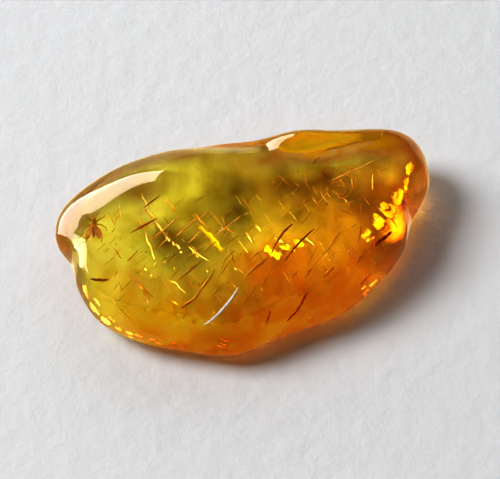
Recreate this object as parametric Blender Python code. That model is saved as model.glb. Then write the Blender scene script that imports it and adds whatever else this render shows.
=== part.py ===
"""Insect in amber: a polished free-form nugget of clear amber with a small gnat sealed in it.

The nugget lies on a flat polished face. Its top is a broad dome with a small lobe behind it and a
valley between them, and its left end is thin and has a waist worn into it.
The clear body is parted in two along a level plane, so that the gnat lies in a pocket.
Origin: the middle of the foot print, on the surface it rests on. +X runs along the nugget's length,
+Y to its back edge and +Z up.
"""

import math

import bmesh
import bpy
import numpy as np

MM = 0.001

# Nugget, in millimetres
# Widest rim seen from above, anticlockwise from the right end
RIM_OUTLINE = (
    (16.1, 3.3), (17.9, 7.9), (15.6, 11.7), (7.9, 11.2), (2.1, 10.3), (-2.5, 10.6), (-7.3, 9.7),
    (-13.1, 7.2), (-17.1, 3.7), (-18.1, 0.3), (-16.5, -2.4), (-15.8, -5.2), (-13.9, -8.3),
    (-10.3, -10.4), (-5.7, -11.4), (-1.1, -11.8), (3.7, -9.6), (9.1, -7.2), (12.7, -3.7),
    (15.1, -0.2),
)
RIM_HEIGHT = 3.4  # above the surface it rests on, at the middle
RIM_SLOPE = -0.05  # per mm towards the right end
RIM_RISE = 0.06  # per mm towards the back
EDGE_HEIGHT = 8.2  # of the top face near its edge, above the surface it rests on
BACK_RISE = 0.02  # of the top face, per mm towards the back
MAIN_DOME = (-2.4, 2.3, 12.0, 9.0, 1.6)  # centre x and y, half widths, height
BACK_LOBE = (4.6, 9.3, 4.0, 3.0, 1.3)
LEFT_FALL = (-19.4, 0.8, 8.0, 9.0, -2.2)  # a hill below zero, where the left end thins
VALLEY_START = (-3.2, 9.6)  # on the back edge, where it is deepest
VALLEY_END = (10.4, 4.6)  # where it has faded out
VALLEY_HALF_WIDTH = 1.5
VALLEY_DEPTH = 0.9
# Width of the rounded edge between the rim and the top face, by bearing from +X in degrees
EDGE_WIDTHS = (
    (0, 3.2), (40, 4.0), (60, 5.0), (82, 6.0), (100, 8.4), (120, 8.6), (140, 8.6), (165, 3.6),
    (180, 2.4), (192, 1.6), (215, 3.4), (240, 5.0), (270, 6.4), (320, 5.0),
)
EDGE_HARMONICS = 8  # the finest turns of that width round the rim
UNDER_ROUNDING = 4.5  # from the rim in to the flat face underneath
ROUNDING_POWER = 2.2  # 2 is an ellipse, more is fuller
WAIST_FADE = 3.0  # how fast small bends of the outline fade towards the middle
SOFT_HARMONICS = 2  # the bends that stay in the middle

AROUND = 112  # points round the nugget
UNDER_ROWS = 6
EDGE_ROWS = 14
TOP_ROWS = 9

# Parting and pocket
PARTING_HEIGHT = 4.25
PARTING_GAP = 0.3
POCKET_CENTRE = (-13.7, 0.3, 4.4)
POCKET_RADII = (2.15, 2.8, 1.6)
CUT_SPAN = 60.0  # a box larger than the nugget

# Gnat, in its own axes: +Y forwards, +Z up
GNAT_PLACE = (-13.85, 0.2, 4.55)
GNAT_TURN = (14.0, -22.0, -8.0)  # degrees about x, y and z
HEAD = ((0.0, 0.93, 0.02), (0.19, 0.17, 0.18))  # centre and radii
THORAX = ((0.0, 0.50, 0.08), (0.27, 0.36, 0.29))
ABDOMEN = ((0.0, -0.32, -0.04), (0.20, 0.62, 0.20))
ABDOMEN_TIP = ((0.0, -0.88, -0.12), (0.11, 0.22, 0.11))
LEG_RADII = (0.075, 0.065, 0.045, 0.035)  # at hip, knee, ankle and tip
LEG_SIDES = 8
# hip, knee, ankle and tip of each leg on the right side
FORE_LEG = ((0.10, 0.66, -0.08), (0.58, 1.02, -0.02), (0.90, 1.24, -0.26), (1.02, 1.50, -0.32))
MIDDLE_LEG = ((0.12, 0.48, -0.10), (0.78, 0.34, 0.02), (1.18, 0.02, -0.22), (1.28, -0.34, -0.32))
HIND_LEG = ((0.10, 0.30, -0.08), (0.64, -0.22, -0.02), (0.86, -0.94, -0.24), (0.80, -1.52, -0.30))
# the left legs are bent otherwise
FORE_LEG_LEFT = ((-0.10, 0.66, -0.08), (-0.50, 1.06, 0.02), (-0.74, 1.10, -0.34), (-1.0, 1.3, -0.46))
MIDDLE_LEG_LEFT = ((-0.12, 0.48, -0.10), (-0.70, 0.30, 0.10), (-1.14, -0.10, -0.12), (-1.2, -0.6, -0.3))
HIND_LEG_LEFT = ((-0.10, 0.30, -0.08), (-0.56, -0.34, -0.10), (-0.66, -1.02, -0.26), (-0.9, -1.6, -0.3))
ANTENNA_RADII = (0.045, 0.040, 0.035, 0.030)
ANTENNA = ((0.07, 1.02, 0.08), (0.20, 1.30, 0.16), (0.38, 1.56, 0.12), (0.56, 1.76, 0.0))
WING_ROOT = (0.13, 0.46, 0.24)
WING_LENGTH = 1.75
WING_HALF_WIDTH = 0.31
WING_THICKNESS = 0.07
WING_SPLAY = 19.0  # degrees out from the abdomen
WING_DROOP = 9.0
WING_SIDES = 20


def clear_scene():
    for old in list(bpy.data.objects):
        bpy.data.objects.remove(old, do_unlink=True)


def material(name, colour, roughness, transmission=0.0):
    made = bpy.data.materials.new(name)
    made.use_nodes = True
    shader = made.node_tree.nodes["Principled BSDF"]
    shader.inputs["Base Color"].default_value = (*colour, 1.0)
    shader.inputs["Roughness"].default_value = roughness
    shader.inputs["Metallic"].default_value = 0.0
    shader.inputs["Transmission Weight"].default_value = transmission
    return made


def add_object(name, mesh, look=None, parent=None):
    made = bpy.data.objects.new(name, mesh)
    bpy.context.scene.collection.objects.link(made)
    if look is not None:
        mesh.materials.append(look)
    made.parent = parent
    return made


def as_guide(made):
    made.hide_render = True
    made.display_type = "WIRE"
    return made


def smooth_closed_curve(points, count):
    """A closed Catmull-Rom curve through the points, as count points spaced evenly by parameter."""
    corners = np.array(points, dtype=float)
    total = len(corners)
    parameter = np.linspace(0.0, total, count, endpoint=False)
    index = np.floor(parameter).astype(int)
    t = (parameter - index)[:, None]
    before, start = corners[(index - 1) % total], corners[index % total]
    end, after = corners[(index + 1) % total], corners[(index + 2) % total]
    square = (2 * before - 5 * start + 4 * end - after) * t**2
    cube = (3 * start - before - 3 * end + after) * t**3
    return 0.5 * (2 * start + (end - before) * t + square + cube)


def centred(curve):
    """The curve moved so that its extent is centred on the origin."""
    return curve - (curve.max(axis=0) + curve.min(axis=0)) / 2


def softened(values, harmonics):
    """Values round a closed curve, with only their lowest harmonics."""
    spectrum = np.fft.fft(values, axis=0)
    harmonic = np.abs(np.fft.fftfreq(len(values), 1.0 / len(values)))
    spectrum[harmonic > harmonics] = 0.0
    return np.fft.ifft(spectrum, axis=0).real


def bump(x, y, centre_x, centre_y, half_x, half_y, height):
    """A round hill: height times e to the minus squared distance in half widths."""
    return height * np.exp(-(((x - centre_x) / half_x) ** 2) - ((y - centre_y) / half_y) ** 2)


def valley_depth(x, y):
    """Depth of the valley: bell-shaped across, and fading by half a cosine wave along its line."""
    run_x, run_y = VALLEY_END[0] - VALLEY_START[0], VALLEY_END[1] - VALLEY_START[1]
    length = math.hypot(run_x, run_y)
    from_x, from_y = x - VALLEY_START[0], y - VALLEY_START[1]
    along = np.clip((from_x * run_x + from_y * run_y) / length**2, 0.0, 1.0)
    across = (from_y * run_x - from_x * run_y) / length
    fade = 0.5 + 0.5 * np.cos(math.pi * along)
    return VALLEY_DEPTH * fade * np.exp(-((across / VALLEY_HALF_WIDTH) ** 2))


def rim_height(x, y):
    return RIM_HEIGHT + RIM_SLOPE * x + RIM_RISE * y


def top_height(x, y):
    """Height of the top face: an even base, a slope, the dome and the lobe."""
    hills = bump(x, y, *MAIN_DOME) + bump(x, y, *BACK_LOBE) + bump(x, y, *LEFT_FALL)
    return EDGE_HEIGHT + BACK_RISE * y + hills


def edge_width(outline):
    """Width of the rounded edge at each outline point, by the way the point faces."""
    bearing = np.degrees(np.arctan2(outline[:, 1], outline[:, 0]))
    bearings, widths = zip(*EDGE_WIDTHS)
    return softened(np.interp(bearing, bearings, widths, period=360.0), EDGE_HARMONICS)


def nugget_rings():
    """Rings of points from the flat face underneath, round the rim, to the middle of the top.

    A ring at share s of the way out is the outline scaled by s, with its small bends faded by
    s to the power WAIST_FADE. The edges are superellipse quarters between the faces.
    """
    outline = centred(smooth_closed_curve(RIM_OUTLINE, AROUND))
    soft = softened(outline, SOFT_HARMONICS)
    reach = np.hypot(outline[:, 0], outline[:, 1])
    width = edge_width(outline)
    power = 2.0 / ROUNDING_POWER
    rings = []

    def ring(share, height, on_top):
        keep = np.clip(share, 0.0, 1.0)[:, None] ** WAIST_FADE
        flat = (soft * (1.0 - keep) + outline * keep) * share[:, None]
        x, y = flat[:, 0], flat[:, 1]
        rim = rim_height(x, y)
        if on_top:
            z = rim + (top_height(x, y) - rim) * height - valley_depth(x, y) * min(1.2 * height, 1.0)
        else:
            z = rim * (1.0 - height)
        rings.append(np.column_stack((x, y, z)))

    for angle in np.linspace(math.pi / 2, 0.0, UNDER_ROWS + 1)[:-1]:
        inset = UNDER_ROUNDING * (1.0 - max(math.cos(angle), 0.0) ** power)
        ring(1.0 - inset / reach, math.sin(angle) ** power, False)
    for angle in np.linspace(0.0, math.pi / 2, EDGE_ROWS + 1):
        inset = 1.0 - max(math.cos(angle), 0.0) ** power
        ring(1.0 - width * inset / reach, math.sin(angle) ** power, True)
    for share in np.linspace(1.0, 0.0, TOP_ROWS + 1)[1:-1]:
        ring((1.0 - width / reach) * share, 1.0, True)
    return rings


def nugget_mesh(name):
    """The whole nugget: one polygon underneath, quads between the rings, a fan on top."""
    shape = bmesh.new()
    rings = []
    for points in nugget_rings():
        rings.append([shape.verts.new(point * MM) for point in points])
    middle_height = top_height(0.0, 0.0) - valley_depth(0.0, 0.0)
    middle = shape.verts.new((0.0, 0.0, middle_height * MM))
    shape.faces.new(list(reversed(rings[0])))
    for lower, upper in zip(rings[:-1], rings[1:]):
        for i in range(AROUND):
            j = (i + 1) % AROUND
            shape.faces.new((lower[i], lower[j], upper[j], upper[i]))
    for i in range(AROUND):
        shape.faces.new((rings[-1][i], rings[-1][(i + 1) % AROUND], middle))
    mesh = bpy.data.meshes.new(name)
    shape.to_mesh(mesh)
    shape.free()
    mesh.shade_smooth()
    return mesh


def box_mesh(name, low, high):
    shape = bmesh.new()
    bmesh.ops.create_cube(shape, size=1.0)
    for corner in shape.verts:
        for axis in range(3):
            corner.co[axis] = (low[axis] if corner.co[axis] < 0 else high[axis]) * MM
    mesh = bpy.data.meshes.new(name)
    shape.to_mesh(mesh)
    shape.free()
    return mesh


def ellipsoid_mesh(name, centre, radii, segments=20, rings=12):
    shape = bmesh.new()
    bmesh.ops.create_uvsphere(shape, u_segments=segments, v_segments=rings, radius=1.0)
    for point in shape.verts:
        for axis in range(3):
            point.co[axis] = (centre[axis] + point.co[axis] * radii[axis]) * MM
    mesh = bpy.data.meshes.new(name)
    shape.to_mesh(mesh)
    shape.free()
    mesh.shade_smooth()
    return mesh


def cut(target, cutter):
    modifier = target.modifiers.new(f"Less {cutter.name}", "BOOLEAN")
    modifier.operation = "DIFFERENCE"
    modifier.solver = "EXACT"
    modifier.object = cutter


def build_amber():
    """Both halves of the nugget: the same body, less the other side of the parting and the pocket."""
    half = CUT_SPAN / 2
    top_of_lower = PARTING_HEIGHT - PARTING_GAP / 2
    foot_of_upper = PARTING_HEIGHT + PARTING_GAP / 2
    above = box_mesh("above_parting", (-half, -half, top_of_lower), (half, half, half))
    below = box_mesh("below_parting", (-half, -half, -half), (half, half, foot_of_upper))
    pocket = ellipsoid_mesh("pocket", POCKET_CENTRE, POCKET_RADII, 28, 14)
    cutters = [as_guide(add_object(mesh.name, mesh)) for mesh in (above, below, pocket)]
    honey = (0.80, 0.42, 0.04)
    for name, other_side in (("amber_lower", cutters[0]), ("amber_upper", cutters[1])):
        look = material(name, honey, 0.05, transmission=1.0)
        made = add_object(name, nugget_mesh(name), look)
        cut(made, other_side)
        cut(made, cutters[2])


def limb_mesh(name, path, radii, sides):
    """A round limb that tapers from joint to joint, with flat ends.

    Each ring lies square to the mean direction of the pieces that meet at its joint.
    """
    points = np.array(path, dtype=float)
    steps = np.diff(points, axis=0)
    steps /= np.linalg.norm(steps, axis=1)[:, None]
    forward = np.vstack((steps[:1], steps[:-1] + steps[1:], steps[-1:]))
    forward /= np.linalg.norm(forward, axis=1)[:, None]
    side = np.cross(forward, (0.0, 0.0, 1.0))
    side /= np.linalg.norm(side, axis=1)[:, None]
    up = np.cross(side, forward)
    shape = bmesh.new()
    rings = []
    for centre, across, lift, radius in zip(points, side, up, radii):
        angles = [2 * math.pi * k / sides for k in range(sides)]
        ring = [centre + radius * (math.cos(a) * across + math.sin(a) * lift) for a in angles]
        rings.append([shape.verts.new(point * MM) for point in ring])
    for first, second in zip(rings[:-1], rings[1:]):
        for i in range(sides):
            j = (i + 1) % sides
            shape.faces.new((first[i], first[j], second[j], second[i]))
    shape.faces.new(list(reversed(rings[0])))
    shape.faces.new(rings[-1])
    bmesh.ops.recalc_face_normals(shape, faces=shape.faces)
    mesh = bpy.data.meshes.new(name)
    shape.to_mesh(mesh)
    shape.free()
    mesh.shade_smooth()
    return mesh


def wing_mesh(name, side):
    """A flat blade with an oval outline, laid back over the abdomen and turned out from it."""
    splay = math.radians(WING_SPLAY)
    droop = math.radians(WING_DROOP)
    back = np.array((side * math.sin(splay), -math.cos(splay), -math.sin(droop)))
    back /= np.linalg.norm(back)
    across = np.cross(back, (0.0, 0.0, 1.0))
    across /= np.linalg.norm(across)
    up = np.cross(across, back)
    root = np.array((side * WING_ROOT[0], WING_ROOT[1], WING_ROOT[2]))
    shape = bmesh.new()
    faces = []
    for lift in (-WING_THICKNESS / 2, WING_THICKNESS / 2):
        ring = []
        for k in range(WING_SIDES):
            turn = 2 * math.pi * k / WING_SIDES
            along = WING_LENGTH * (0.5 - 0.5 * math.cos(turn))
            # broadest past the middle
            wide = WING_HALF_WIDTH * math.sin(turn) * (0.62 + 0.38 * along / WING_LENGTH)
            ring.append(shape.verts.new((root + back * along + across * wide + up * lift) * MM))
        faces.append(ring)
    for i in range(WING_SIDES):
        j = (i + 1) % WING_SIDES
        shape.faces.new((faces[0][i], faces[0][j], faces[1][j], faces[1][i]))
    shape.faces.new(list(reversed(faces[0])))
    shape.faces.new(faces[1])
    bmesh.ops.recalc_face_normals(shape, faces=shape.faces)
    mesh = bpy.data.meshes.new(name)
    shape.to_mesh(mesh)
    shape.free()
    return mesh


def mirrored(path):
    return tuple((-x, y, z) for x, y, z in path)


def build_insect():
    """The gnat: thorax, head, abdomen, legs, antennae and wings, united into one body."""
    place = bpy.data.objects.new("insect_place", None)
    bpy.context.scene.collection.objects.link(place)
    place.location = [value * MM for value in GNAT_PLACE]
    place.rotation_euler = [math.radians(value) for value in GNAT_TURN]
    chitin = material("insect", (0.16, 0.05, 0.02), 0.45)
    body = add_object("insect", ellipsoid_mesh("insect", *THORAX, 16, 10), chitin, place)
    pieces = [
        ellipsoid_mesh("head", *HEAD, 14, 8),
        ellipsoid_mesh("abdomen", *ABDOMEN, 14, 12),
        ellipsoid_mesh("abdomen_tip", *ABDOMEN_TIP, 10, 8),
        wing_mesh("wing_right", 1.0),
        wing_mesh("wing_left", -1.0),
    ]
    legs = (FORE_LEG, MIDDLE_LEG, HIND_LEG, FORE_LEG_LEFT, MIDDLE_LEG_LEFT, HIND_LEG_LEFT)
    for number, path in enumerate(legs):
        pieces.append(limb_mesh(f"leg_{number}", path, LEG_RADII, LEG_SIDES))
    for number, path in enumerate((ANTENNA, mirrored(ANTENNA))):
        pieces.append(limb_mesh(f"antenna_{number}", path, ANTENNA_RADII, LEG_SIDES))
    for mesh in pieces:
        limb = as_guide(add_object(mesh.name, mesh, parent=place))
        union = body.modifiers.new(f"With {mesh.name}", "BOOLEAN")
        union.operation = "UNION"
        union.solver = "EXACT"
        union.object = limb


clear_scene()
build_amber()
build_insect()
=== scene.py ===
"""Insect in amber, dressed for its looks: a polished nugget of clear amber with a gnat sealed in it."""

import bmesh
import bpy
import numpy as np
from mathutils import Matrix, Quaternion, Vector


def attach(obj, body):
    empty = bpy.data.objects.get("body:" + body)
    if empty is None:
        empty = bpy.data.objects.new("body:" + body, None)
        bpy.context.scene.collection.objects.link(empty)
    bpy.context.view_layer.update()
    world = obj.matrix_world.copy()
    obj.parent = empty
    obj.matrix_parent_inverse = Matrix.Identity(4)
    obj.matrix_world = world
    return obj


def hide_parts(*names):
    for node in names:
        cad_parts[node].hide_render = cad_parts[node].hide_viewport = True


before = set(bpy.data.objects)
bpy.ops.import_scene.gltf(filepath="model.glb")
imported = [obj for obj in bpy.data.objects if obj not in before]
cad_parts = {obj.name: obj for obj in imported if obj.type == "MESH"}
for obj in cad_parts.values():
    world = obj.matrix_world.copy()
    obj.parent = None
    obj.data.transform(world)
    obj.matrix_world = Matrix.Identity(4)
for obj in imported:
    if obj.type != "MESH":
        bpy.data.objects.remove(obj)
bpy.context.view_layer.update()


# ---------------------------------------------------------------- Amber nugget
# One free-form nugget of hardened tree resin, ground and polished by hand to a pebble.
# Clear honey yellow, with an orange weathered skin left on its right end and along its front.

MM = 0.001  # lengths are in millimetres until they reach a mesh or a shader
# widest rim seen from above, anticlockwise from the right end
RIM_OUTLINE = (
    (16.1, 3.3), (17.9, 7.9), (15.6, 11.7), (7.9, 11.2), (2.1, 10.3), (-2.5, 10.6), (-7.3, 9.7),
    (-13.1, 7.2), (-17.1, 3.7), (-18.1, 0.3), (-16.5, -2.4), (-15.8, -5.2), (-13.9, -8.3),
    (-10.3, -10.4), (-5.7, -11.4), (-1.1, -11.8), (3.7, -9.6), (9.1, -7.2), (12.7, -3.7),
    (15.1, -0.2),
)
RIM_HEIGHT = 3.4  # at the middle of the nugget
RIM_SLOPE = -0.05  # the rim sinks to the right
RIM_RISE = 0.06  # and rises to the back
EDGE_HEIGHT = 8.2  # of the top face, before its hills
BACK_RISE = 0.02  # it too rises to the back
MAIN_DOME = (-2.4, 2.3, 12.0, 9.0, 1.6)  # centre x and y, half widths, height
BACK_LOBE = (4.6, 9.3, 4.0, 3.0, 1.3)
LEFT_FALL = (-19.4, 0.8, 8.0, 9.0, -2.2)  # a hill below zero, where the left end thins
LEFT_DIP = (-14.5, 4.3, 3.0, 2.9, -0.5)  # faint hollow and swelling that the polishing left
LEFT_SWELLING = (-9.5, 2.5, 3.9, 2.0, 0.6)
VALLEY_START = (-3.2, 9.6)  # on the back edge, where it is deepest
VALLEY_END = (10.4, 4.6)  # where it has faded out
VALLEY_HALF_WIDTH = 1.5
VALLEY_DEPTH = 0.9
VALLEY_HASTE = 1.2  # it is at full depth a little below the top of the rounded edge
# width of the rounded edge between the rim and the top face, by bearing from +X in degrees
EDGE_WIDTHS = (
    (0, 3.2), (40, 4.0), (60, 5.0), (82, 6.0), (100, 8.4), (120, 8.6), (140, 8.6), (165, 3.6),
    (180, 2.4), (192, 1.6), (215, 3.4), (240, 5.0), (270, 6.4), (320, 5.0),
)
EDGE_HARMONICS = 8  # bends of that width, all the way round
UNDER_ROUNDING = 4.5  # width of the low rounded edge underneath
ROUNDING_POWER = 2.2  # of the superellipse, which is round at 2
WAIST_FADE = 3.0  # power by which the outline's small bends fade inwards
SOFT_HARMONICS = 2  # bends that are left in the middle


def smooth_closed_curve(points, count):
    """A closed Catmull-Rom curve through the points: each stretch is a cubic that leaves and
    reaches its ends along the line between the neighbours."""
    corners = np.array(points)
    total = len(corners)
    parameter = np.linspace(0.0, total, count, endpoint=False)
    index = np.floor(parameter).astype(int)
    t = (parameter - index)[:, None]
    before, start = corners[(index - 1) % total], corners[index % total]
    end, after = corners[(index + 1) % total], corners[(index + 2) % total]
    square = (2 * before - 5 * start + 4 * end - after) * t**2
    cube = (3 * start - before - 3 * end + after) * t**3
    curve = 0.5 * (2 * start + (end - before) * t + square + cube)
    return curve - (curve.max(axis=0) + curve.min(axis=0)) / 2


def softened(values, harmonics):
    """Values round a closed curve, with only their lowest harmonics."""
    spectrum = np.fft.fft(values, axis=0)
    harmonic = np.abs(np.fft.fftfreq(len(values), 1.0 / len(values)))
    spectrum[harmonic > harmonics] = 0.0
    return np.fft.ifft(spectrum, axis=0).real


def hill(x, y, centre_x, centre_y, half_x, half_y, height):
    """Height times e to the minus squared distance in half widths."""
    return height * np.exp(-(((x - centre_x) / half_x) ** 2) - ((y - centre_y) / half_y) ** 2)


def top_height(x, y):
    """Height of the top face: a slope, the dome, the lobe and the thin left end."""
    hills = hill(x, y, *MAIN_DOME) + hill(x, y, *BACK_LOBE) + hill(x, y, *LEFT_FALL)
    hills = hills + hill(x, y, *LEFT_DIP) + hill(x, y, *LEFT_SWELLING)
    return EDGE_HEIGHT + BACK_RISE * y + hills


def valley_depth(x, y):
    """Bell-shaped across the valley's line, and fading by half a cosine wave along it."""
    run_x, run_y = VALLEY_END[0] - VALLEY_START[0], VALLEY_END[1] - VALLEY_START[1]
    length = np.hypot(run_x, run_y)
    from_x, from_y = x - VALLEY_START[0], y - VALLEY_START[1]
    along = np.clip((from_x * run_x + from_y * run_y) / length**2, 0.0, 1.0)
    across = (from_y * run_x - from_x * run_y) / length
    fade = 0.5 + 0.5 * np.cos(np.pi * along)
    return VALLEY_DEPTH * fade * np.exp(-((across / VALLEY_HALF_WIDTH) ** 2))


def nugget_surface(around, floor_rows, under_rows, edge_rows, top_rows):
    """Rings from the middle of the flat underside, round the rim, to the middle of the top.

    A ring at share s of the way out is the outline scaled by s, with its small bends faded by s
    cubed. Between the flat underside, the rim and the top face lie superellipse quarters.
    Returned with the points is how far in from the outline each of them lies.
    """
    outline = smooth_closed_curve(RIM_OUTLINE, around)
    soft = softened(outline, SOFT_HARMONICS)
    reach = np.hypot(outline[:, 0], outline[:, 1])
    bearing = np.degrees(np.arctan2(outline[:, 1], outline[:, 0]))
    bearings, widths = zip(*EDGE_WIDTHS)
    width = softened(np.interp(bearing, bearings, widths, period=360.0), EDGE_HARMONICS)
    power = 2.0 / ROUNDING_POWER
    under_angle = np.linspace(np.pi / 2, 0.0, under_rows + 1)[:-1]
    edge_angle = np.linspace(0.0, np.pi / 2, edge_rows + 1)
    under_inset = UNDER_ROUNDING * (1.0 - np.clip(np.cos(under_angle), 0, 1) ** power)[:, None]
    edge_inset = (1.0 - np.clip(np.cos(edge_angle), 0, 1) ** power)[:, None]
    share_under = 1.0 - under_inset / reach
    share_edge = 1.0 - width * edge_inset / reach
    share_floor = share_under[0] * np.linspace(0.0, 1.0, floor_rows + 1)[:-1, None]
    share_top = share_edge[-1] * np.linspace(1.0, 0.0, top_rows + 1)[1:, None]
    share = np.concatenate((share_floor, share_under, share_edge, share_top))
    lift = np.concatenate((
        np.ones(floor_rows), np.sin(under_angle) ** power, np.sin(edge_angle) ** power,
        np.ones(top_rows),
    ))[:, None]
    above = (np.arange(len(share)) >= floor_rows + under_rows)[:, None]
    keep = np.clip(share, 0.0, 1.0) ** WAIST_FADE
    x = (soft[:, 0] * (1.0 - keep) + outline[:, 0] * keep) * share
    y = (soft[:, 1] * (1.0 - keep) + outline[:, 1] * keep) * share
    rim = RIM_HEIGHT + RIM_SLOPE * x + RIM_RISE * y
    sunk = valley_depth(x, y) * np.minimum(VALLEY_HASTE * lift, 1.0)
    upper = rim + (top_height(x, y) - rim) * lift - sunk
    points = np.stack((x, y, np.where(above, upper, rim * (1.0 - lift))), axis=-1)
    return points * MM, (1.0 - share) * reach


def closed_quads(rows, around):
    """Faces of a grid that closes on itself along its second parameter."""
    row, column = np.meshgrid(np.arange(rows - 1), np.arange(around), indexing="ij")
    following = (column + 1) % around
    corners = (
        row * around + column, row * around + following,
        (row + 1) * around + following, (row + 1) * around + column,
    )
    return np.stack(corners, axis=-1).reshape(-1, 4)


BLADE_STATIONS, BLADE_SIDES = 11, 8
BLADE_WANDER = 0.018  # sideways steps, as a share of the length
BLADE_RAGGEDNESS = 0.45  # how far the width strays from its mean, as a share


def blades(cracks, widths, thicknesses, facing, seed):
    """Thin closed blades as an array of cracks, stations and sides, from each one's three points.

    The middle line is a parabola through start, middle and end with small random sideways steps.
    The cross-section is an ellipse, thin along facing and wide across it, and it shrinks to a
    point at both ends as the square root of 1 minus the squared distance from the middle.
    """
    chance = np.random.default_rng(seed)
    widths, thicknesses = (np.broadcast_to(sizes, len(cracks)) for sizes in (widths, thicknesses))
    starts, middles, ends = cracks.transpose(1, 0, 2)
    s = np.linspace(-1.0, 1.0, BLADE_STATIONS)[None, :, None]
    line = (starts[:, None] * s * (s - 1) / 2 + middles[:, None] * (1 - s**2)
            + ends[:, None] * s * (s + 1) / 2)
    along = ends - starts
    length = np.linalg.norm(along, axis=1)
    along = along / length[:, None]
    wide_way = np.cross(facing, along)
    wide_way /= np.linalg.norm(wide_way, axis=1)[:, None]
    thin_way = np.cross(along, wide_way)
    steps = chance.normal(0.0, BLADE_WANDER, (len(cracks), BLADE_STATIONS)) * length[:, None]
    line = line + (steps[:, :, None] * (1 - s**2)) * wide_way[:, None]
    taper = np.sqrt(np.clip(1.0 - s**2, 0.0, 1.0))
    ragged = 1.0 + BLADE_RAGGEDNESS * chance.uniform(-1.0, 1.0, (len(cracks), BLADE_STATIONS, 1))
    turn = np.linspace(0.0, 2 * np.pi, BLADE_SIDES, endpoint=False)
    wide = (taper * ragged * widths[:, None, None] / 2) * np.cos(turn)
    thin = (taper * thicknesses[:, None, None] / 2) * np.sin(turn)
    shells = line[:, :, None] + wide[..., None] * wide_way[:, None, None]
    return (shells + thin[..., None] * thin_way[:, None, None]) * MM


MERGE_DISTANCE = 1e-7  # metres
SHORTEST_EDGE = 1e-8


def mesh_object(name, parts, material, attribute, values):
    """One object from parts, each an array of points and an array of four-cornered faces.

    Points that fall together, at the ends of blades and the poles of rings, are merged.
    """
    first = np.cumsum([0] + [len(points) for points, faces in parts])
    points = np.concatenate([points for points, faces in parts])
    faces = np.concatenate([faces + start for (_, faces), start in zip(parts, first)])
    mesh = bpy.data.meshes.new(name)
    mesh.from_pydata(points.tolist(), [], faces.tolist())
    mesh.shade_smooth()
    mesh.attributes.new(attribute, "FLOAT", "POINT").data.foreach_set("value", values)
    shape = bmesh.new()
    shape.from_mesh(mesh)
    bmesh.ops.remove_doubles(shape, verts=shape.verts, dist=MERGE_DISTANCE)
    bmesh.ops.dissolve_degenerate(shape, dist=SHORTEST_EDGE, edges=shape.edges)
    shape.to_mesh(mesh)
    shape.free()
    mesh.materials.append(material)
    made = bpy.data.objects.new(name, mesh)
    bpy.context.scene.collection.objects.link(made)
    return made


def linear(code):
    """An sRGB hex colour as linear red, green, blue and alpha."""
    srgb = np.array([int(code[start : start + 2], 16) for start in (1, 3, 5)]) / 255.0
    channels = np.where(srgb <= 0.04045, srgb / 12.92, ((srgb + 0.055) / 1.055) ** 2.4)
    return (*channels.tolist(), 1.0)


def node(tree, kind, settings=None, inputs=None, links=None):
    """One shader node: its settings, its input values, and the sockets that feed it."""
    made = tree.nodes.new(kind)
    for name, value in (settings or {}).items():
        setattr(made, name, value)
    for name, value in (inputs or {}).items():
        made.inputs[name].default_value = value
    for name, source in (links or {}).items():
        tree.links.new(source, made.inputs[name])
    return made


def new_material(name):
    """A material with an empty node tree."""
    made = bpy.data.materials.new(name)
    made.use_nodes = True
    made.node_tree.nodes.clear()
    return made


def ramp(tree, factor, stops):
    """A colour ramp fed by factor, with its stops as pairs of a position and a colour."""
    made = node(tree, "ShaderNodeValToRGB", links={"Fac": factor})
    elements = made.color_ramp.elements
    while len(elements) < len(stops):
        elements.new(0.5)
    for element, (position, colour) in zip(elements, stops):
        element.position = position
        element.color = colour
    return made.outputs["Color"]


def smooth_step(tree, value, start, end, low=0.0, high=1.0):
    """Rises smoothly from low at start to high at end."""
    made = node(tree, "ShaderNodeMapRange", {"interpolation_type": "SMOOTHSTEP"},
                {"From Min": start, "From Max": end, "To Min": low, "To Max": high},
                {"Value": value})
    return made.outputs["Result"]


def spot(tree, vector, centre, radii):
    """1 at the centre, falling smoothly to 0 at one radius from it; centre and radii in mm."""
    centre, radii = np.array(centre) * MM, np.array(radii) * MM
    scaled = node(tree, "ShaderNodeMapping", {"vector_type": "POINT"},
                  {"Location": (-centre / radii).tolist(), "Scale": (1.0 / radii).tolist()},
                  {"Vector": vector})
    away = node(tree, "ShaderNodeVectorMath", {"operation": "LENGTH"},
                links={"Vector": scaled.outputs["Vector"]})
    return smooth_step(tree, away.outputs["Value"], 1.0, 0.0)


def arithmetic(tree, operation, first, second):
    """One sum on two sockets or numbers."""
    made = node(tree, "ShaderNodeMath", {"operation": operation})
    for socket, value in zip(made.inputs, (first, second)):
        if isinstance(value, float):
            socket.default_value = value
        else:
            tree.links.new(value, socket)
    return made.outputs["Value"]


def tinted(tree, factor, colour, tint):
    """The colour multiplied by the tint, as far as the factor says."""
    made = node(tree, "ShaderNodeMixRGB", {"blend_type": "MULTIPLY"}, {"Color2": tint},
                {"Fac": factor, "Color1": colour})
    return made.outputs["Color"]


# Clear amber: a smooth see-through resin of index 1.54 that drinks blue at once and green slowly.
# The weathered skin, and the stains and painted shade underneath, are tints on the surface that
# light crosses, and the polish gives out to a matt skin low down.
AMBER_INDEX = 1.54
AMBER_COLOUR, AMBER_DENSITY = (0.990, 0.970, 0.50, 1.0), 260.0  # what is left, and how fast
AMBER_POLISHED, AMBER_MATT = 0.012, 0.34  # roughness
# waves to the metre: 170 is one each 6 mm, 260 one each 4 mm, and about 500 one each 2 mm
WANDER_WAVES, RIPPLE_WAVES, CLOUD_WAVES, RIND_WAVES = 170.0, 260.0, 480.0, 520.0
# the stains below include patches of painted shade, whose outlines stray the same way
WANDER = (10 * MM, 10 * MM, 0.0)  # outlines of stains and rind stray by up to half of this
RIPPLE_DEPTH = 0.4 * MM
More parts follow.
